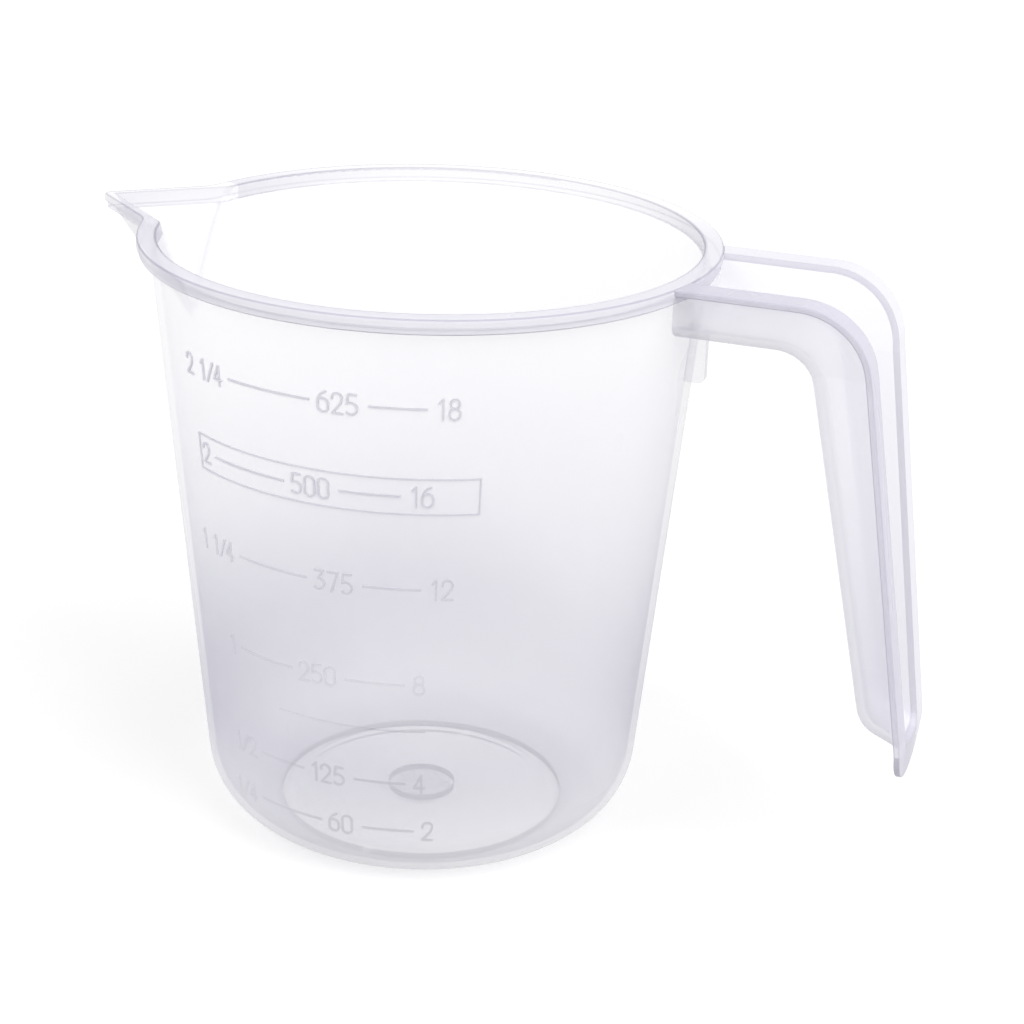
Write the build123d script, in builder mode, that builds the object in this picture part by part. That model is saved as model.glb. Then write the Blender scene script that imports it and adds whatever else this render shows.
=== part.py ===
from build123d import *
import os
from math import atan2, cos, degrees, radians, sin, tan

# Translucent measuring cup for mixing resin, moulded in one shot.
# Millimetres. The origin is on the cup's axis at the level that it stands on.
# +Z is up, +X points along the handle, and the spout points along -X.

# Cup
cup_height = 118.0
wall_top_radius = 52.4
wall_base_radius = 41.9
wall_thickness = 1.3
corner_radius = 14.7

# Floor
foot_ring_width = 2.8
foot_rise = 1.0
foot_slope_width = 0.9
gate_radius = 6.7
gate_rise = 0.9

# Rim
rim_height = 2.9
rim_overhang = 2.5
rim_upper_height = 1.5
rim_step = 0.35
rim_edge_radius = 0.5
rim_lower_edge_radius = 0.4

# Spout
spout_reach = 69.8
spout_half_angle = 40.0
spout_depth = 20.6
spout_wall = 1.5
spout_lip_width = 1.8
spout_corner_radius = 8.0
spout_inner_corner_radius = 2.5
spout_tip_radius = 1.6
spout_seam_angle = 19.0

# Handle
handle_reach = 86.2
handle_lean = 8.5
handle_bend_radius = 13.8
handle_depth = 11.0
handle_leg_depth = 12.8
handle_end_depth = 9.5
handle_inner_bend_radius = 7.0
handle_wall = 1.4
handle_edge_radius = 3.6
handle_end_radius = 6.5
handle_end_rise = 4.0
handle_bend_drop = 14.0
handle_end_drop = 85.0
handle_tip_drop = 93.1
handle_tip_inset = 1.6
handle_root_half_width = 12.4
handle_bend_half_width = 10.3
handle_end_half_width = 6.9
flange_overhang = 4.2
flange_thickness = 1.2
flange_edge_radius = 0.3
handle_root_draft = 4.3

# Rib under the handle's root
rib_length = 3.9
rib_height = 10.8
rib_thickness = 1.9
rib_corner_radius = 1.2

# Graduations, raised on the outer face
mark_height = 0.3
mark_stroke = 0.45
digit_height = 3.8
digit_width = 1.85
digit_gap = 0.8
dash_gap = 1.6
frame_height = 6.8
frame_stroke = 0.32
guide_line_level_share = 0.3085

# Cuts run past the faces that they open by this much
overrun = 4.0

# Worked out from the sizes above
wall_height = cup_height - rim_height
draft = degrees(atan2(wall_top_radius - wall_base_radius, wall_height))
corner_centre = wall_base_radius + corner_radius * (tan(radians(draft)) - 1 / cos(radians(draft)))
wall_slice = wall_thickness / cos(radians(draft))
rim_radius = wall_top_radius + rim_overhang
rim_inner_radius = wall_top_radius - wall_slice
foot_inner_radius = corner_centre - foot_ring_width
rise_radius = foot_inner_radius - foot_slope_width


def wall_radius(level):
    """Outer radius of the straight wall at a level."""
    return wall_base_radius + (wall_top_radius - wall_base_radius) * level / wall_height


def corner_point(inset):
    """Where the rounded corner runs into the wall, on the skin that is inset by a thickness."""
    reach = corner_radius - inset
    return (corner_centre + reach * cos(radians(draft)), corner_radius - reach * sin(radians(draft)))


def cup_outline(inset, top_level):
    """Half section of the cup's skin, from the axis round the corner and up the wall."""
    top_radius = wall_radius(top_level) - inset / cos(radians(draft))
    corner_start = (corner_centre, inset)
    Line((0, inset), corner_start)
    CenterArc((corner_centre, corner_radius), corner_radius - inset, -90, 90 - draft)
    Line(corner_point(inset), (top_radius, top_level))
    Line((top_radius, top_level), (0, top_level))
    Line((0, top_level), (0, inset))


# Everything out to the cup's outer skin, with the rim: it trims what joins the cup from outside
with BuildPart() as cup_envelope:
    with BuildSketch(Plane.XZ):
        with BuildLine():
            cup_outline(0, wall_height)
        make_face()
    revolve(axis=Axis.Z)
    with BuildSketch(Plane.XY.offset(wall_height)):
        Circle(rim_radius - rim_step)
    extrude(amount=rim_height - rim_upper_height)
    with BuildSketch(Plane.XY.offset(cup_height - rim_upper_height)):
        Circle(rim_radius)
    extrude(amount=rim_upper_height + overrun)

with BuildPart() as cup_hollow:
    with BuildSketch(Plane.XZ):
        with BuildLine():
            cup_outline(wall_thickness, wall_height + overrun)
        make_face()
    revolve(axis=Axis.Z)


# Spout: a V that slides down along its keel, inwards, until it meets the wall
spout_inner_reach = spout_reach - spout_lip_width / sin(radians(spout_half_angle))
spout_outer_reach = spout_inner_reach + spout_wall / sin(radians(spout_half_angle))
spout_back = corner_centre
keel_foot_level = wall_height - spout_depth
keel = Vector(spout_outer_reach - wall_radius(keel_foot_level), 0, keel_foot_level - cup_height)


def v_outline(reach):
    """The spout's plan, as a triangle with its point at the given reach."""
    half_width = (reach - spout_back) * tan(radians(spout_half_angle))
    Polygon((-reach, 0), (-spout_back, -half_width), (-spout_back, half_width), align=None)


def v_prism(reach, level):
    """The V from a level down along the keel, where it has the given reach at the top of the cup."""
    with BuildPart() as prism:
        with BuildSketch(Plane.XY.offset(level)):
            v_outline(reach + keel.X * (cup_height - level) / keel.Z)
        extrude(amount=keel.length + overrun, dir=keel.normalized())
    return prism.part


spout_opening = v_prism(spout_inner_reach, cup_height + overrun)

with BuildPart() as cup_wall:
    with BuildSketch(Plane.XZ):
        with BuildLine():
            cup_outline(0, wall_height)
        make_face()
    revolve(axis=Axis.Z)
    add(cup_hollow.part, mode=Mode.SUBTRACT)
    with BuildSketch(Plane.XY):
        Circle(corner_centre)
    extrude(amount=corner_radius, mode=Mode.SUBTRACT)
    add(spout_opening, mode=Mode.SUBTRACT)

with BuildPart() as pour_spout:
    add(v_prism(spout_outer_reach, wall_height))
    add(spout_opening, mode=Mode.SUBTRACT)
    add(cup_envelope.part, mode=Mode.SUBTRACT)


# Floor: a flat foot ring, then a step up to a raised middle
with BuildPart() as cup_floor:
    with BuildSketch(Plane.XZ):
        with BuildLine():
            Polyline(
                (gate_radius, foot_rise),
                (rise_radius, foot_rise),
                (foot_inner_radius, 0),
                (corner_centre, 0),
                (corner_centre, wall_thickness),
                (foot_inner_radius, wall_thickness),
                (rise_radius, wall_thickness + foot_rise),
                (gate_radius, wall_thickness + foot_rise),
                close=True,
            )
        make_face()
    revolve(axis=Axis.Z)

# The spot where the plastic was let into the mould, domed up into the cup
with BuildPart() as gate_dimple:
    with BuildSketch(Plane.XZ):
        with BuildLine():
            dome_edge = (gate_radius, wall_thickness + foot_rise)
            dome_top = (0, wall_thickness + foot_rise + gate_rise)
            dome_foot = (0, foot_rise + gate_rise)
            Line((gate_radius, foot_rise), dome_edge)
            TangentArc(dome_top, dome_edge, tangent=(1, 0))
            Line(dome_top, dome_foot)
            TangentArc(dome_foot, (gate_radius, foot_rise), tangent=(1, 0))
        make_face()
    revolve(axis=Axis.Z)


# Rim: a band in two tiers that runs out along both sides of the spout
def rim_plan(setback):
    """Plan of the band, with its outer edge set back by a step."""
    with BuildSketch() as plan:
        Circle(rim_radius - setback)
        v_outline(spout_reach - setback / sin(radians(spout_half_angle)))
        corners = plan.vertices().filter_by(lambda v: v.X < -spout_back and abs(v.Y) > wall_thickness)
        fillet(corners, spout_corner_radius)
        fillet(plan.vertices().sort_by(Axis.X)[0], spout_tip_radius)
    return plan.sketch


def is_mouth_corner(edge):
    """Whether an edge stands where the mouth turns into the spout."""
    middle = edge @ 0.5
    on_mouth = abs(Vector(middle.X, middle.Y, 0).length - rim_inner_radius) < rim_edge_radius
    return on_mouth and middle.X < -spout_back and edge.bounding_box().size.Z > rim_upper_height / 2


with BuildPart() as rim_whole:
    with BuildSketch(Plane.XY.offset(wall_height)):
        add(rim_plan(rim_step))
    extrude(amount=rim_height - rim_upper_height)
    with BuildSketch(Plane.XY.offset(cup_height - rim_upper_height)):
        add(rim_plan(0))
    extrude(amount=rim_upper_height)
    fillet(rim_whole.edges().group_by(Axis.Z)[0], rim_lower_edge_radius)
    with BuildSketch(Plane.XY.offset(wall_height)):
        Circle(rim_inner_radius)
    extrude(amount=rim_height, mode=Mode.SUBTRACT)
    add(spout_opening, mode=Mode.SUBTRACT)
    fillet(rim_whole.edges().filter_by(is_mouth_corner), spout_inner_corner_radius)
    fillet(rim_whole.edges().group_by(Axis.Z)[-1], rim_edge_radius)

with BuildPart() as spout_sector:
    with BuildSketch(Plane.XY.offset(wall_height - overrun)):
        sector_reach = spout_reach + overrun
        sector_half_width = sector_reach * tan(radians(spout_seam_angle))
        Polygon((0, 0), (-sector_reach, -sector_half_width), (-sector_reach, sector_half_width), align=None)
    extrude(amount=rim_height + 2 * overrun)

with BuildPart() as rim_band:
    add(rim_whole.part)
    add(spout_sector.part, mode=Mode.SUBTRACT)

with BuildPart() as spout_lip:
    add(rim_whole.part)
    add(spout_sector.part, mode=Mode.INTERSECT)


# Handle: a channel that is open on its outer side, with a flange along both edges
lean = tan(radians(handle_lean))
handle_bend_level = cup_height - handle_bend_drop
handle_end_level = cup_height - handle_end_drop
handle_tip_level = cup_height - handle_tip_drop
web_level = cup_height - handle_depth
web_end_level = handle_end_level + handle_end_rise / 2
outer_at_web = handle_reach + lean * handle_depth
outer_at_end = handle_reach + lean * (cup_height - handle_end_level)
handle_far = outer_at_end + overrun
handle_low = handle_tip_level - overrun


def inside_of(inset):
    """Side view of all that lies inwards of the flange's outer face, less an inset."""
    slant = inset / cos(radians(handle_lean))
    tip_reach = outer_at_end + lean * (handle_end_level - handle_tip_level) - handle_tip_inset
    face = FilletPolyline(
        (0, cup_height - inset),
        (handle_reach + lean * inset - slant, cup_height - inset),
        (outer_at_end - slant, handle_end_level),
        (tip_reach - slant, handle_low),
        radius=handle_bend_radius - inset,
    )
    Polyline(face @ 1, (0, handle_low), face @ 0)


def above_web(skin):
    """Side view of all that lies outwards of the web's finger side, less a skin."""
    web = FilletPolyline(
        (0, web_level + skin),
        (outer_at_web - handle_leg_depth + skin, web_level + skin),
        (outer_at_end - handle_end_depth + skin, web_end_level + skin),
        (handle_far, handle_end_level - handle_end_rise + skin),
        radius=(handle_inner_bend_radius + skin, handle_end_radius - skin),
    )
    Polyline(web @ 1, (handle_far, cup_height + overrun), (0, cup_height + overrun), web @ 0)


def front_outline(extra):
    """The handle seen from its outer side, wider than the channel by an extra on each side."""
    root = handle_root_half_width + extra
    bend = handle_bend_half_width + extra
    end = handle_end_half_width + extra
    tip = handle_tip_level + flange_overhang - extra
    ThreePointArc((-end, handle_end_level), (0, tip), (end, handle_end_level))
    Polyline(
        (end, handle_end_level),
        (bend, handle_bend_level),
        (root, cup_height),
        (root, cup_height + overrun),
        (-root, cup_height + overrun),
        (-root, cup_height),
        (-bend, handle_bend_level),
        (-end, handle_end_level),
    )


def handle_body(skin):
    """The channel as a full body, or the body less its skin."""
    with BuildPart() as body:
        with BuildSketch(Plane.XZ):
            with BuildLine():
                above_web(skin)
            make_face()
        extrude(amount=rim_radius, both=True)
        with BuildSketch(Plane.YZ):
            with BuildLine():
                front_outline(-skin)
            make_face()
        extrude(amount=handle_far + overrun, mode=Mode.INTERSECT)
        web_edges = body.edges().filter_by(lambda e: on_web_side(e, skin))
        fillet(web_edges, handle_edge_radius - skin)
    return body.part


def on_web_side(edge, skin):
    """Whether an edge runs along the corner between the web and a side wall."""
    middle = edge @ 0.5
    start = edge @ 0
    end = edge @ 1
    if abs(start.Y - end.Y) > handle_end_half_width:
        return False
    if middle.X < overrun or middle.X > handle_far - overrun:
        return False
    if middle.Z > web_level + skin + overrun / 2:
        return False
    return start.X < handle_far - overrun / 2


with BuildPart() as flange_inner_side:
    with BuildSketch(Plane.XZ):
        with BuildLine():
            inside_of(flange_thickness)
        make_face()
    extrude(amount=rim_radius, both=True)

handle_full = handle_body(0)
handle_hollow = handle_body(handle_wall)

with BuildPart() as handle_grip:
    add(handle_full)
    add(handle_hollow, mode=Mode.SUBTRACT)
    add(flange_inner_side.part, mode=Mode.INTERSECT)
    add(cup_envelope.part, mode=Mode.SUBTRACT)

def is_flange_edge(edge):
    """Whether an edge runs along the flange's free side, or round its lower end."""
    middle = edge @ 0.5
    if edge.length < 2 * flange_thickness or middle.X < rim_radius + flange_overhang:
        return False
    end_share = (cup_height - middle.Z) / (cup_height - handle_end_level)
    channel = handle_root_half_width + (handle_end_half_width - handle_root_half_width) * end_share
    at_tip = middle.Z < handle_tip_level + flange_overhang / 2
    return at_tip or abs(middle.Y) > channel + flange_overhang / 2


with BuildPart() as handle_flange:
    with BuildSketch(Plane.XZ):
        with BuildLine():
            inside_of(0)
        make_face()
    extrude(amount=rim_radius, both=True)
    add(flange_inner_side.part, mode=Mode.SUBTRACT)
    with BuildSketch(Plane.YZ):
        with BuildLine():
            front_outline(flange_overhang)
        make_face()
    extrude(amount=handle_far + overrun, mode=Mode.INTERSECT)
    add(handle_hollow, mode=Mode.SUBTRACT)
    add(cup_envelope.part, mode=Mode.SUBTRACT)
    fillet(handle_flange.edges().filter_by(is_flange_edge), flange_edge_radius)

# Inside the channel's root the wall is thickened under the rim, out to the rim's lower tier
root_top_radius = rim_radius - rim_step
root_foot_radius = root_top_radius + (wall_height - web_level) * tan(radians(handle_root_draft))

with BuildPart() as handle_root:
    with BuildSketch(Plane.XZ):
        with BuildLine():
            Polyline(
                (0, web_level),
                (root_foot_radius, web_level),
                (root_top_radius, wall_height),
                (0, wall_height),
                close=True,
            )
        make_face()
    revolve(axis=Axis.Z)
    add(handle_hollow, mode=Mode.INTERSECT)
    add(cup_envelope.part, mode=Mode.SUBTRACT)

rib_bottom_level = web_level - rib_height
rib_reach = wall_radius(rib_bottom_level) + rib_length

with BuildPart() as handle_rib:
    with BuildSketch(Plane.XZ) as rib_side:
        with BuildLine():
            Polyline(
                (wall_base_radius, rib_bottom_level),
                (rib_reach, rib_bottom_level),
                (rib_reach, web_level),
                (wall_base_radius, web_level),
                close=True,
            )
        make_face()
        fillet(rib_side.vertices().group_by(Axis.Y)[0].sort_by(Axis.X)[-1], rib_corner_radius)
    extrude(amount=rib_thickness / 2, both=True)
    add(cup_envelope.part, mode=Mode.SUBTRACT)


# Graduations: plain numbers and dashes, drawn as single strokes in shares of a digit's box
glyph_shares = {
    "0": [
        ("arc", (0, 0.66), (0.5, 1), (1, 0.66)),
        ("arc", (0, 0.34), (0.5, 0), (1, 0.34)),
        ("line", (0, 0.34), (0, 0.66)),
        ("line", (1, 0.34), (1, 0.66)),
    ],
    "1": [("line", (0.2, 0.8), (0.55, 1), (0.55, 0))],
    "2": [("arc", (0, 0.72), (0.5, 1), (0.98, 0.72)), ("line", (0.98, 0.72), (0.84, 0.5), (0, 0), (1, 0))],
    "3": [("line", (0.06, 1), (0.94, 1), (0.44, 0.6)), ("arc", (0.44, 0.6), (0.98, 0.28), (0, 0.12))],
    "4": [("line", (0.72, 0), (0.72, 1)), ("line", (0.72, 1), (0, 0.28), (1, 0.28))],
    "5": [("line", (0.92, 1), (0.14, 1), (0.06, 0.54)), ("arc", (0.06, 0.54), (1, 0.34), (0, 0.1))],
    "6": [
        ("arc", (0, 0.33), (0.5, 0.66), (1, 0.33)),
        ("arc", (0, 0.33), (0.5, 0), (1, 0.33)),
        ("arc", (0, 0.33), (0.2, 0.78), (0.8, 1)),
    ],
    "7": [("line", (0, 1), (1, 1), (0.35, 0))],
    "8": [
        ("arc", (0.1, 0.77), (0.5, 1), (0.9, 0.77)),
        ("arc", (0.1, 0.77), (0.5, 0.54), (0.9, 0.77)),
        ("arc", (0, 0.27), (0.5, 0.54), (1, 0.27)),
        ("arc", (0, 0.27), (0.5, 0), (1, 0.27)),
    ],
    "/": [("line", (0, 0), (1, 1))],
}

# How far a narrow symbol moves the next one on, as a share of a digit and its gap
narrow_advance_shares = {"1": 0.8, "/": 0.8, " ": 0.7}

# Each row's texts, the angles about the cup's axis at which they start, and its level
row_texts = {
    "marks_625": ("2 1/4", "625", "18"),
    "marks_500": ("2", "500", "16"),
    "marks_375": ("1 1/4", "375", "12"),
    "marks_250": ("1", "250", "8"),
    "marks_125": ("1/2", "125", "4"),
    "marks_60": ("1/4", "60", "2"),
}
row_start_angles = {
    "marks_625": (-126.0, -90.3, -66.8),
    "marks_500": (-122.9, -97.1, -71.8),
    "marks_375": (-127.7, -92.8, -67.4),
    "marks_250": (-119.9, -97.9, -70.6),
    "marks_125": (-121.8, -96.2, -70.3),
    "marks_60": (-123.4, -91.8, -68.1),
}
row_level_shares = {
    "marks_625": 0.855,
    "marks_500": 0.7135,
    "marks_375": 0.5585,
    "marks_250": 0.3915,
    "marks_125": 0.212,
    "marks_60": 0.1235,
}
frame_end_angles = (-124.2, -57.7)
guide_line_end_angles = (-104.4, -67.9)

with BuildPart() as mark_skin:
    with BuildSketch(Plane.XZ):
        with BuildLine():
            cup_outline(-mark_height, wall_height)
        make_face()
    revolve(axis=Axis.Z)
    with BuildSketch(Plane.XZ):
        with BuildLine():
            cup_outline(0, wall_height)
        make_face()
    revolve(axis=Axis.Z, mode=Mode.SUBTRACT)


def wall_plane(angle, level):
    """A plane that faces outwards on the wall at an angle about the axis, with its origin at a level."""
    outward = Vector(cos(radians(angle)), sin(radians(angle)), 0)
    along = Vector(-sin(radians(angle)), cos(radians(angle)), 0)
    origin = outward * wall_radius(level) + Vector(0, 0, level)
    return Plane(origin=origin, x_dir=along, z_dir=outward)


def raise_digit(symbol, angle, level):
    """One figure, as a prism through the wall's skin."""
    with BuildSketch(wall_plane(angle, level)) as figure:
        for kind, *shares in glyph_shares[symbol]:
            points = [((x - 0.5) * digit_width, (y - 0.5) * digit_height) for x, y in shares]
            with BuildLine() as stroke:
                if kind == "arc":
                    ThreePointArc(*points)
                else:
                    Polyline(*points)
            for edge in stroke.edges():
                trace(edge, line_width=mark_stroke)
            with Locations(*points):
                Circle(mark_stroke / 2)
    extrude(figure.sketch, amount=overrun, both=True)


def raise_line(level, start_angle, end_angle, stroke):
    """A level line round the wall between two angles, as a wedge through its skin."""
    reach = 2 * wall_top_radius
    ends = [(reach * cos(radians(a)), reach * sin(radians(a))) for a in (start_angle, end_angle)]
    with BuildSketch(Plane.XY.offset(level - stroke / 2)) as wedge:
        Polygon((0, 0), *ends, align=None)
    extrude(wedge.sketch, amount=stroke)


def degrees_along(length, level):
    """The angle about the axis that a length along the wall takes up."""
    return degrees(length / wall_radius(level))


def graduation_row(name):
    """The figures of one row and the dashes between them."""
    level = row_level_shares[name] * cup_height
    pitch = degrees_along(digit_width + digit_gap, level)
    gap = degrees_along(dash_gap, level)
    dash_start = None
    with BuildPart() as row:
        for text, start_angle in zip(row_texts[name], row_start_angles[name]):
            if dash_start is not None:
                raise_line(level, dash_start, start_angle - gap, mark_stroke)
            angle = start_angle + degrees_along(digit_width / 2, level)
            for symbol in text:
                if symbol != " ":
                    raise_digit(symbol, angle, level)
                angle += pitch * narrow_advance_shares.get(symbol, 1)
            dash_start = angle + gap - pitch / 2
        add(mark_skin.part, mode=Mode.INTERSECT)
    return row.part


with BuildPart() as mark_frame:
    frame_level = row_level_shares["marks_500"] * cup_height
    for side in (-1, 1):
        raise_line(frame_level + side * frame_height / 2, *frame_end_angles, frame_stroke)
    for angle in frame_end_angles:
        with BuildSketch(wall_plane(angle, frame_level)):
            Rectangle(frame_stroke, frame_height + frame_stroke)
        extrude(amount=overrun, both=True)
    add(mark_skin.part, mode=Mode.INTERSECT)

with BuildPart() as guide_line:
    raise_line(guide_line_level_share * cup_height, *guide_line_end_angles, frame_stroke)
    add(mark_skin.part, mode=Mode.INTERSECT)


pieces = {
    "cup_wall": cup_wall.part,
    "cup_floor": cup_floor.part,
    "gate_dimple": gate_dimple.part,
    "rim_band": rim_band.part,
    "pour_spout": pour_spout.part,
    "spout_lip": spout_lip.part,
    "handle_grip": handle_grip.part,
    "handle_flange": handle_flange.part,
    "handle_root": handle_root.part,
    "handle_rib": handle_rib.part,
    "mark_frame": mark_frame.part,
    "guide_line": guide_line.part,
}
for name in row_texts:
    pieces[name] = graduation_row(name)

os.makedirs("parts", exist_ok=True)
for name, piece in pieces.items():
    piece.label = name
    export_step(piece, f"parts/{name}.step")
    print(name, "solids", len(piece.solids()), "volume", round(piece.volume, 1))
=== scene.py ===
import math

import bpy
from mathutils import Matrix, Vector

# Milky see-through mixing cup. Metres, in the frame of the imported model:
# the cup's axis is Z, the handle runs along +X and the numbers face -Y.

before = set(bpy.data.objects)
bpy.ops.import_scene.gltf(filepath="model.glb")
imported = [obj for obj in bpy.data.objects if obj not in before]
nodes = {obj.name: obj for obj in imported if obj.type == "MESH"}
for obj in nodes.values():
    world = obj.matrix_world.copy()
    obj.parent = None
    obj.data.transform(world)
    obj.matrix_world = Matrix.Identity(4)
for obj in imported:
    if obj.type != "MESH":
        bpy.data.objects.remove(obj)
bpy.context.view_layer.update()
scene = bpy.context.scene
print("frame loaded:", len(nodes), "nodes")


# Small helpers for node trees

def newGroup(name, inputs, outputs):
    group = bpy.data.node_groups.new(name, "ShaderNodeTree")
    for label, kind, default in inputs:
        socket = group.interface.new_socket(name=label, in_out="INPUT", socket_type=kind)
        socket.default_value = default
    for label in outputs:
        group.interface.new_socket(name=label, in_out="OUTPUT", socket_type="NodeSocketFloat")
    return group, group.nodes.new("NodeGroupInput"), group.nodes.new("NodeGroupOutput")


def useGroup(tree, group, values):
    node = tree.nodes.new("ShaderNodeGroup")
    node.node_tree = group
    for label, value in values.items():
        node.inputs[label].default_value = value
    return node.outputs


def mathNode(tree, operation, first, second=0.0, third=None, clamp=False):
    # Each value is a number or another node's output
    node = tree.nodes.new("ShaderNodeMath")
    node.operation = operation
    node.use_clamp = clamp
    values = (first, second) if third is None else (first, second, third)
    for place, value in enumerate(values):
        if isinstance(value, (int, float)):
            node.inputs[place].default_value = value
        else:
            tree.links.new(value, node.inputs[place])
    return node.outputs[0]


def rangeNode(tree, value, source, target):
    # Smooth ramp from one span of values to another
    node = tree.nodes.new("ShaderNodeMapRange")
    node.interpolation_type = "SMOOTHSTEP"
    tree.links.new(value, node.inputs["Value"])
    for label, setting in zip(("From Min", "From Max", "To Min", "To Max"), (*source, *target)):
        node.inputs[label].default_value = setting
    return node.outputs["Result"]


def tintNode(tree, share, colour, deeper):
    # Mixes a deeper colour into a colour, which is a tuple or another node's output
    node = tree.nodes.new("ShaderNodeMix")
    node.data_type = "RGBA"
    if isinstance(colour, tuple):
        node.inputs["A"].default_value = (*colour, 1.0)
    else:
        tree.links.new(colour, node.inputs["A"])
    node.inputs["B"].default_value = (*deeper, 1.0)
    tree.links.new(share, node.inputs["Factor"])
    return node.outputs["Result"]


def lengthNode(tree, vector):
    node = tree.nodes.new("ShaderNodeVectorMath")
    node.operation = "LENGTH"
    tree.links.new(vector, node.inputs[0])
    return node.outputs["Value"]


def splitVector(tree, output):
    # X, Y and Z of the point's place or normal on the object
    texture = tree.nodes.new("ShaderNodeTexCoord")
    split = tree.nodes.new("ShaderNodeSeparateXYZ")
    tree.links.new(texture.outputs[output], split.inputs["Vector"])
    return split.outputs


# Effects that the plastics share

flowLook = {
    "stretch": (1.0, 1.0, 0.45),
    "cloudDetail": 3.0,
    "cloudTwist": 0.6,
    "grainDetail": 2.0,
    "grainShare": 0.35,
}
edgeLeans = {"rise": (0.3, 0.6), "fall": (0.93, 1.0)}


def mouldFlow():
    # Cloudy flow marks and fine skin that the plastic keeps from the mould
    group, inputs, outputs = newGroup(
        "mouldFlow",
        [("Cloud Scale", "NodeSocketFloat", 28.0), ("Grain Scale", "NodeSocketFloat", 900.0)],
        ["Cloud", "Height"],
    )
    place = group.nodes.new("ShaderNodeTexCoord")
    stretch = group.nodes.new("ShaderNodeMapping")
    stretch.inputs["Scale"].default_value = flowLook["stretch"]
    group.links.new(place.outputs["Object"], stretch.inputs["Vector"])
    cloud = group.nodes.new("ShaderNodeTexNoise")
    cloud.inputs["Detail"].default_value = flowLook["cloudDetail"]
    cloud.inputs["Distortion"].default_value = flowLook["cloudTwist"]
    group.links.new(stretch.outputs["Vector"], cloud.inputs["Vector"])
    group.links.new(inputs.outputs["Cloud Scale"], cloud.inputs["Scale"])
    grain = group.nodes.new("ShaderNodeTexNoise")
    grain.inputs["Detail"].default_value = flowLook["grainDetail"]
    group.links.new(place.outputs["Object"], grain.inputs["Vector"])
    group.links.new(inputs.outputs["Grain Scale"], grain.inputs["Scale"])
    height = mathNode(
        group, "MULTIPLY_ADD", grain.outputs["Fac"], flowLook["grainShare"], cloud.outputs["Fac"]
    )
    group.links.new(cloud.outputs["Fac"], outputs.inputs["Cloud"])
    group.links.new(height, outputs.inputs["Height"])
    return group


def roundedEdge():
    # Where a surface leans halfway over an axis, which is on the rounded edges of a band
    group, inputs, outputs = newGroup(
        "roundedEdge", [("Axis", "NodeSocketVector", (0.0, 0.0, 1.0))], ["Edge"]
    )
    place = group.nodes.new("ShaderNodeTexCoord")
    lean = group.nodes.new("ShaderNodeVectorMath")
    lean.operation = "DOT_PRODUCT"
    group.links.new(place.outputs["Normal"], lean.inputs[0])
    group.links.new(inputs.outputs["Axis"], lean.inputs[1])
    amount = mathNode(group, "ABSOLUTE", lean.outputs["Value"])
    rise = rangeNode(group, amount, edgeLeans["rise"], (0.0, 1.0))
    fall = rangeNode(group, amount, edgeLeans["fall"], (1.0, 0.0))
    group.links.new(mathNode(group, "MULTIPLY", rise, fall), outputs.inputs["Edge"])
    return group


flowGroup = mouldFlow()
edgeGroup = roundedEdge()


# The plastics

def tintDepth(tree, place, cloud, look):
    # Deeper in tint along one axis, less so at the foot, with clouds in it
    depth = rangeNode(tree, place[look["deepAlong"]], look["deepPlaces"], look["deepShares"])
    foot = rangeNode(tree, place["Z"], look["footPlaces"], look["footDeep"])
    depth = mathNode(tree, "MULTIPLY", depth, foot)
    depth = mathNode(tree, "MULTIPLY_ADD", cloud, look["cloudShare"], depth)
    if look.get("bandPlaces"):
        # The rim's upper tier is deeper in tint towards its top edge, and the top itself is pale
        band = rangeNode(tree, place["Z"], look["bandPlaces"], (0.0, look["bandShare"]))
        below = mathNode(tree, "LESS_THAN", place["Z"], look["bandTop"])
        band = mathNode(tree, "MULTIPLY", band, below)
        depth = mathNode(tree, "ADD", depth, band, clamp=True)
    return depth


def milkinessAndSideShade(tree, place, look):
    # Along one axis, never under the least, and weaker at the foot; across the cup it is painted
    # shade: milkier, and so darker, towards -X, the side away from the key lamp
    milk = rangeNode(tree, place[look["milkAlong"]], look["milkPlaces"], look["milk"])
    # Painted shade: more milk towards -X, away from the key lamp, so that side renders darker
    paintedShadeSide = rangeNode(tree, place["X"], look["shadeSidePlaces"], look["shadeSideShares"])
    milk = mathNode(tree, "MULTIPLY", milk, paintedShadeSide)
    least = rangeNode(tree, place["Z"], look["leastPlaces"], look["leastMilk"])
    milk = mathNode(tree, "MAXIMUM", milk, least)
    foot = rangeNode(tree, place["Z"], look["footPlaces"], look["footShares"])
    milk = mathNode(tree, "MULTIPLY", milk, foot)

    # More of it where the surface is seen at a glance
    glance = tree.nodes.new("ShaderNodeLayerWeight")
    rise = mathNode(tree, "POWER", glance.outputs["Facing"], look["edgePower"])
    rise = mathNode(tree, "MULTIPLY", rise, foot)
    milk = mathNode(tree, "MULTIPLY_ADD", rise, look["edgeAlpha"], milk, clamp=True)

    # Upright faces low down, which are the seams and steps round the floor, show less
    lean = mathNode(tree, "ABSOLUTE", splitVector(tree, "Normal")["Z"])
    level = rangeNode(tree, lean, look["uprightLeans"], (look["uprightShare"], 1.0))
    above = mathNode(tree, "GREATER_THAN", place["Z"], look["uprightTop"])
    level = mathNode(tree, "MAXIMUM", level, above)
    return mathNode(tree, "MULTIPLY", milk, level)


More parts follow.
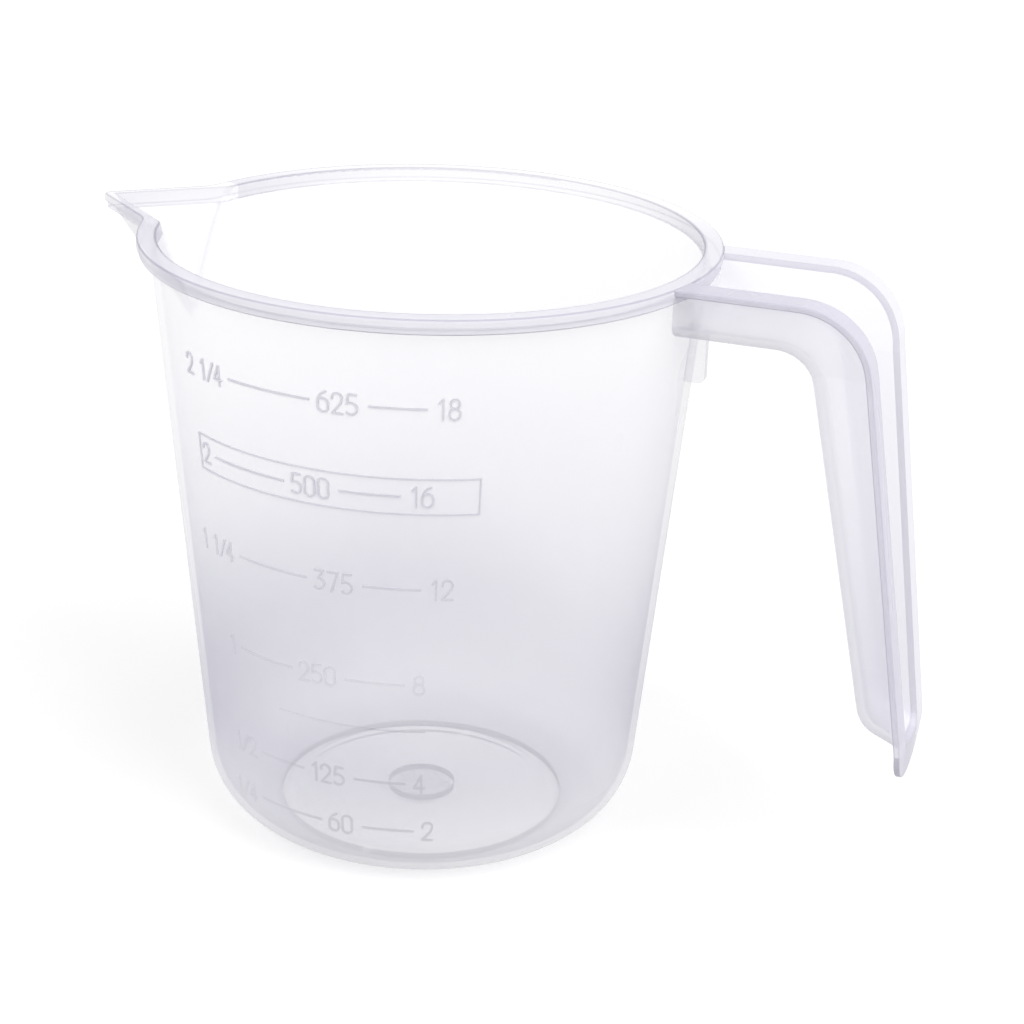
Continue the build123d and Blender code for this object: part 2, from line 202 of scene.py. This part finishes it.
def ringTintAndRefractionLine(tree, place, look):
    # A dark line just outside the inner face, whose radius grows with height: on the wall it
    # shows where the spout opens, and on the rim along the mouth.
    # It is partly deeper tint, where the plastic is seen edge-on and thickest, and partly painted
    # dark refraction of the surroundings
    flat = tree.nodes.new("ShaderNodeCombineXYZ")
    tree.links.new(place["X"], flat.inputs["X"])
    tree.links.new(place["Y"], flat.inputs["Y"])
    radius = lengthNode(tree, flat.outputs["Vector"])
    inside = mathNode(tree, "MULTIPLY_ADD", place["Z"], look["innerTaper"], look["innerRadius"])
    into = mathNode(tree, "SUBTRACT", radius, inside)
    line = mathNode(tree, "COMPARE", into, look["ringMiddle"], look["ringHalf"])
    above = mathNode(tree, "GREATER_THAN", place["Z"], look["ringFoot"])
    line = mathNode(tree, "MULTIPLY", line, above)
    return mathNode(tree, "MULTIPLY", line, look["ringShare"])


def edgeTintAndRefractionLine(tree, place, look):
    # The rounded edges are the deepest in tint, partly from the thicker plastic seen edge-on and
    # partly as painted dark refraction of the surroundings
    line = useGroup(tree, edgeGroup, {"Axis": look["edgeAxis"]})["Edge"]
    if look.get("innerTapers"):
        # A line along the channel's open edge, whose half width follows two straight tapers
        halves = [
            mathNode(tree, "MULTIPLY_ADD", place["Z"], slope, start)
            for slope, start in look["innerTapers"]
        ]
        half = mathNode(tree, "MAXIMUM", *halves)
        gap = mathNode(tree, "SUBTRACT", mathNode(tree, "ABSOLUTE", place["Y"]), half)
        inner = rangeNode(tree, gap, look["innerFade"], (1.0, 0.0))
        line = mathNode(tree, "MAXIMUM", line, inner)
    share = rangeNode(tree, place["Y"], look["linePlaces"], look["lineShares"])
    return mathNode(tree, "MULTIPLY", line, share)


def besideSeam(tree, place, look):
    # 0 on the cut between the spout's lip and the rim, so that it doesn't show, and 1 elsewhere
    across = mathNode(tree, "ABSOLUTE", place["Y"])
    along = mathNode(tree, "ABSOLUTE", place["X"])
    gap = mathNode(tree, "MULTIPLY_ADD", along, -look["seamSlope"], across)
    cut = mathNode(tree, "COMPARE", gap, 0.0, look["seamWidth"])
    cut = mathNode(tree, "MULTIPLY", cut, mathNode(tree, "LESS_THAN", place["X"], 0.0))
    return mathNode(tree, "SUBTRACT", 1.0, cut)


def milkyPlastic(name, look):
    material = bpy.data.materials.new(name)
    material.use_nodes = True
    tree = material.node_tree
    shader = tree.nodes["Principled BSDF"]
    place = splitVector(tree, "Object")
    flow = useGroup(
        tree, flowGroup, {"Cloud Scale": look["cloudScale"], "Grain Scale": look["grainScale"]}
    )
    depth = tintDepth(tree, place, flow["Cloud"], look)
    colour = tintNode(tree, depth, look["paleColour"], look["deepColour"])
    seen = milkinessAndSideShade(tree, place, look)

    line = 0.0
    # The ring and edge lines are partly deeper tint, where the plastic is seen edge-on, and
    # partly painted dark refraction of the surroundings
    if look.get("ringShare"):
        line = ringTintAndRefractionLine(tree, place, look)
        colour = tintNode(tree, line, colour, look["ringTintAndRefraction"])
        seen = mathNode(tree, "MULTIPLY_ADD", line, look["lineAlpha"], seen, clamp=True)
    if look.get("edgeAxis"):
        line = edgeTintAndRefractionLine(tree, place, look)
        if look.get("seamSlope"):
            beside = besideSeam(tree, place, look)
            seen = mathNode(tree, "MULTIPLY", seen, beside)
            line = mathNode(tree, "MULTIPLY", line, beside)
        colour = tintNode(tree, line, colour, look["edgeTintAndRefraction"])
        seen = mathNode(tree, "MULTIPLY_ADD", line, look["lineAlpha"], seen, clamp=True)

    # Drawn only where light goes in, so that no wall shows twice; some lines show from inside too
    back = tree.nodes.new("ShaderNodeNewGeometry").outputs["Backfacing"]
    front = mathNode(tree, "SUBTRACT", 1.0, back)
    through = mathNode(tree, "MULTIPLY", line, look["lineThrough"])
    through = mathNode(tree, "MULTIPLY", through, back)
    shown = mathNode(tree, "MULTIPLY_ADD", seen, front, through)
    tree.links.new(colour, shader.inputs["Base Color"])
    tree.links.new(shown, shader.inputs["Alpha"])

    # Satin skin
    roughness = rangeNode(tree, flow["Cloud"], look["roughPlaces"], look["roughness"])
    tree.links.new(roughness, shader.inputs["Roughness"])
    bump = tree.nodes.new("ShaderNodeBump")
    bump.inputs["Strength"].default_value = look["bump"]
    bump.inputs["Distance"].default_value = look["bumpHeight"]
    tree.links.new(flow["Height"], bump.inputs["Height"])
    tree.links.new(bump.outputs["Normal"], shader.inputs["Normal"])
    shader.inputs["IOR"].default_value = look["ior"]
    shader.inputs["Specular IOR Level"].default_value = look["gloss"]
    return material


cupLook = {
    "cloudScale": 26.0,
    "grainScale": 900.0,
    "cloudShare": 0.2,
    "paleColour": (0.97, 0.96, 0.995),
    "deepColour": (0.55, 0.54, 0.65),
    "deepAlong": "Z",
    "deepPlaces": (0.0, 0.108),
    "deepShares": (0.9, 0.0),
    "milkAlong": "Z",
    "milkPlaces": (0.025, 0.095),
    "milk": (0.6, 0.13),
    "footPlaces": (0.0, 0.03),
    "footShares": (0.75, 1.0),
    "footDeep": (0.25, 1.0),
    # Painted shade: the wall is milkier, and so darker, towards -X, away from the key lamp
    "shadeSidePlaces": (-0.02, 0.045),
    "shadeSideShares": (1.0, 0.6),
    "leastPlaces": (0.03, 0.108),
    "leastMilk": (0.0, 0.0),
    "uprightLeans": (0.1, 0.5),
    "uprightShare": 0.35,
    "uprightTop": 0.004,
    "edgeAlpha": 0.5,
    "edgePower": 5.0,
    "lineThrough": 0.0,
    "roughPlaces": (0.3, 0.7),
    "roughness": (0.26, 0.4),
    "gloss": 0.08,
    "ior": 1.49,
    "bump": 0.04,
    "bumpHeight": 0.0002,
}
wallLook = {
    **cupLook,
    "uprightTop": 0.0022,
    "leastMilk": (0.43, 0.29),
    "ringMiddle": 0.00036,
    "ringHalf": 0.0003,
    "ringFoot": 0.016,
    # Deeper tint and painted dark refraction on the wall's edge where the spout opens
    "ringTintAndRefraction": (0.56, 0.55, 0.62),
    "ringShare": 0.6,
    "lineAlpha": 0.3,
    "innerRadius": 0.0406,
    "innerTaper": 0.0912,
}
plainLook = {
    **cupLook,
    "footShares": (1.0, 1.0),
    "footDeep": (1.0, 1.0),
    "shadeSideShares": (1.0, 1.0),
}
floorOfCupLook = {
    **plainLook,
    "milk": (0.14, 0.14),
    "edgeAlpha": 0.1,
    "deepShares": (0.2, 0.2),
}
gateLook = {
    **plainLook,
    "milk": (0.26, 0.26),
    "edgeAlpha": 0.05,
    "deepShares": (0.6, 0.6),
}
spoutLook = {
    **plainLook,
    "milk": (0.3, 0.3),
    "edgeAlpha": 0.3,
    "edgePower": 1.7,
    "deepShares": (0.35, 0.35),
}
rimLook = {
    **plainLook,
    "paleColour": (0.9, 0.89, 0.95),
    "deepColour": (0.68, 0.67, 0.75),
    "bandPlaces": (0.1142, 0.1177),
    "bandShare": 0.8,
    "bandTop": 0.1179,
    "deepAlong": "Y",
    "deepPlaces": (0.012, 0.052),
    "deepShares": (0.8, 0.0),
    "milk": (0.62, 0.3),
    "milkAlong": "Y",
    "milkPlaces": (0.012, 0.052),
    "edgeAlpha": 0.2,
    "edgePower": 2.0,
    "edgeAxis": (0.0, 0.0, 1.0),
    # The rim's edge and ring colours are deeper tint and painted dark refraction of the
    # surroundings
    "edgeTintAndRefraction": (0.42, 0.41, 0.49),
    "lineAlpha": 0.2,
    "ringMiddle": 0.00036,
    "ringHalf": 0.0003,
    "ringFoot": 0.1165,
    "ringTintAndRefraction": (0.52, 0.51, 0.58),
    "ringShare": 0.6,
    "innerRadius": 0.0511,
    "innerTaper": 0.0,
    "lineThrough": 0.6,
    "linePlaces": (-0.04, 0.05),
    "lineShares": (0.9, 0.75),
    "seamSlope": math.tan(math.radians(19.0)),
    "seamWidth": 0.000005,
}
lipLook = {
    **rimLook,
    "deepPlaces": (-0.02, 0.012),
    "milkPlaces": (-0.02, 0.012),
    "milk": (0.55, 0.34),
}
gripLook = {
    **plainLook,
    "paleColour": (0.91, 0.9, 0.955),
    "deepColour": (0.72, 0.71, 0.79),
    "deepPlaces": (0.03, 0.1),
    "deepShares": (0.7, 0.0),
    "milk": (0.62, 0.62),
    "edgeAlpha": 0.2,
    "edgePower": 2.5,
    "edgeAxis": (0.0, 1.0, 0.0),
    # The handle's rounded edges get deeper tint and painted dark refraction of the surroundings
    "edgeTintAndRefraction": (0.66, 0.65, 0.74),
    "lineAlpha": 0.1,
    "lineThrough": 0.1,
    "linePlaces": (-0.012, 0.012),
    "lineShares": (0.5, 0.5),
}
rootLook = {
    **plainLook,
    "deepColour": (0.66, 0.65, 0.75),
    "deepShares": (0.6, 0.6),
    "milk": (0.3, 0.3),
}
ribLook = {
    **gripLook,
    "deepShares": (1.0, 1.0),
    "milk": (0.32, 0.32),
    "edgeAlpha": 0.5,
    "edgeAxis": (1.0, 0.0, 0.0),
}
flangeLook = {
    **plainLook,
    "paleColour": (0.88, 0.87, 0.93),
    "deepColour": (0.62, 0.61, 0.7),
    "deepAlong": "Y",
    "deepPlaces": (-0.012, 0.006),
    "deepShares": (1.0, 0.3),
    "milk": (0.68, 0.68),
    "edgeAlpha": 0.3,
    "edgePower": 2.0,
    "edgeAxis": (0.0, 1.0, 0.0),
    # The flange's rounded and open edges get deeper tint and painted dark refraction of the
    # surroundings
    "edgeTintAndRefraction": (0.44, 0.43, 0.52),
    "lineAlpha": 0.3,
    "innerTapers": ((0.0479, 0.00392), (0.15, -0.0067)),
    "innerFade": (0.0002, 0.0004),
    "lineThrough": 0.4,
    "linePlaces": (-0.012, 0.006),
    "lineShares": (0.5, 0.4),
}
markLook = {
    **plainLook,
    "deepColour": (0.56, 0.55, 0.63),
    "deepPlaces": (0.02, 0.09),
    "deepShares": (0.2, 0.85),
    "milkPlaces": (0.03, 0.1),
    "milk": (0.06, 0.5),
    "footPlaces": (0.015, 0.05),
    "footShares": (0.5, 1.0),
    "edgeAlpha": 0.3,
    "edgePower": 1.0,
}

# One plastic for each piece; the frame, the guide line and the figures share markPlastic
finishOf = {
    "cup_wall": milkyPlastic("wallPlastic", wallLook),
    "cup_floor": milkyPlastic("floorPlastic", floorOfCupLook),
    "gate_dimple": milkyPlastic("gatePlastic", gateLook),
    "pour_spout": milkyPlastic("spoutPlastic", spoutLook),
    "rim_band": milkyPlastic("rimPlastic", rimLook),
    "spout_lip": milkyPlastic("lipPlastic", lipLook),
    "handle_grip": milkyPlastic("handlePlastic", gripLook),
    "handle_flange": milkyPlastic("flangePlastic", flangeLook),
    "handle_root": milkyPlastic("rootPlastic", rootLook),
    "handle_rib": milkyPlastic("ribPlastic", ribLook),
}
markPlastic = milkyPlastic("markPlastic", markLook)
for name, node in nodes.items():
    for slot in node.material_slots:
        slot.material = finishOf.get(name, markPlastic)
print("materials made")


# Floor, sky, lamps and camera

floorLook = {
    "size": 6.0,
    "albedo": 0.6,
    "glowPlaces": (0.12, 1.2),
    "glow": (0.46, 0.95),
}
skyStrength = 0.4
lampLooks = {
    "key": {"place": (0.9, -0.35, 1.0), "size": 1.1, "power": 15.5},
    "fill": {"place": (-0.8, -0.9, 0.8), "size": 1.2, "power": 10.0},
}
cameraLook = {
    "place": (0.1589, -0.4034, 0.2361),
    "heading": 19.28,
    "tilt": 68.12,
    "roll": 1.88,
    "lens": 83.55,
    "sensor": 36.0,
}


def seenDirectly(tree):
    # 1 for what the camera sees, also by way of gloss and see-through plastic
    path = tree.nodes.new("ShaderNodeLightPath").outputs
    direct = mathNode(tree, "ADD", path["Is Camera Ray"], path["Is Glossy Ray"], clamp=True)
    return mathNode(tree, "ADD", direct, path["Is Transmission Ray"], clamp=True)


# The floor takes shadows, and glows to the camera so that it runs into the white background
bpy.ops.mesh.primitive_plane_add(size=floorLook["size"])
floor = bpy.context.object
floor.name = "studio_floor"
floorPaint = bpy.data.materials.new("studioFloor")
floorPaint.use_nodes = True
paintTree = floorPaint.node_tree
paintTree.nodes.clear()
output = paintTree.nodes.new("ShaderNodeOutputMaterial")
matt = paintTree.nodes.new("ShaderNodeBsdfDiffuse")
matt.inputs["Color"].default_value = (floorLook["albedo"],) * 3 + (1.0,)
glow = paintTree.nodes.new("ShaderNodeEmission")
texture = paintTree.nodes.new("ShaderNodeTexCoord")
distance = lengthNode(paintTree, texture.outputs["Object"])
spread = rangeNode(paintTree, distance, floorLook["glowPlaces"], floorLook["glow"])
spread = mathNode(paintTree, "MULTIPLY", seenDirectly(paintTree), spread)
paintTree.links.new(spread, glow.inputs["Strength"])
both = paintTree.nodes.new("ShaderNodeAddShader")
paintTree.links.new(matt.outputs["BSDF"], both.inputs[0])
paintTree.links.new(glow.outputs["Emission"], both.inputs[1])
paintTree.links.new(both.outputs["Shader"], output.inputs["Surface"])
floor.data.materials.append(floorPaint)

# The sky is white to the camera and dimmer as a light
world = bpy.data.worlds.new("studioSky")
scene.world = world
world.use_nodes = True
skyTree = world.node_tree
sky = skyTree.nodes["Background"]
sky.inputs["Color"].default_value = (1.0, 1.0, 1.0, 1.0)
strength = mathNode(
    skyTree, "MULTIPLY_ADD", seenDirectly(skyTree), 1.0 - skyStrength, skyStrength
)
skyTree.links.new(strength, sky.inputs["Strength"])

for label, look in lampLooks.items():
    lamp = bpy.data.lights.new(label + "Lamp", "AREA")
    lamp.shape = "SQUARE"
    lamp.size = look["size"]
    lamp.energy = look["power"]
    holder = bpy.data.objects.new(label + "Lamp", lamp)
    scene.collection.objects.link(holder)
    holder.location = look["place"]
    holder.rotation_euler = (-Vector(look["place"])).to_track_quat("-Z", "Y").to_euler()

cameraData = bpy.data.cameras.new("photoCamera")
cameraData.lens = cameraLook["lens"]
cameraData.sensor_width = cameraLook["sensor"]
cameraData.sensor_fit = "HORIZONTAL"
camera = bpy.data.objects.new("photoCamera", cameraData)
scene.collection.objects.link(camera)
turn = Matrix.Rotation(math.radians(cameraLook["heading"]), 4, "Z")
turn = turn @ Matrix.Rotation(math.radians(cameraLook["tilt"]), 4, "X")
turn = turn @ Matrix.Rotation(math.radians(cameraLook["roll"]), 4, "Z")
camera.matrix_world = Matrix.Translation(cameraLook["place"]) @ turn
scene.camera = camera
scene.view_settings.view_transform = "Standard"
print("studio set")
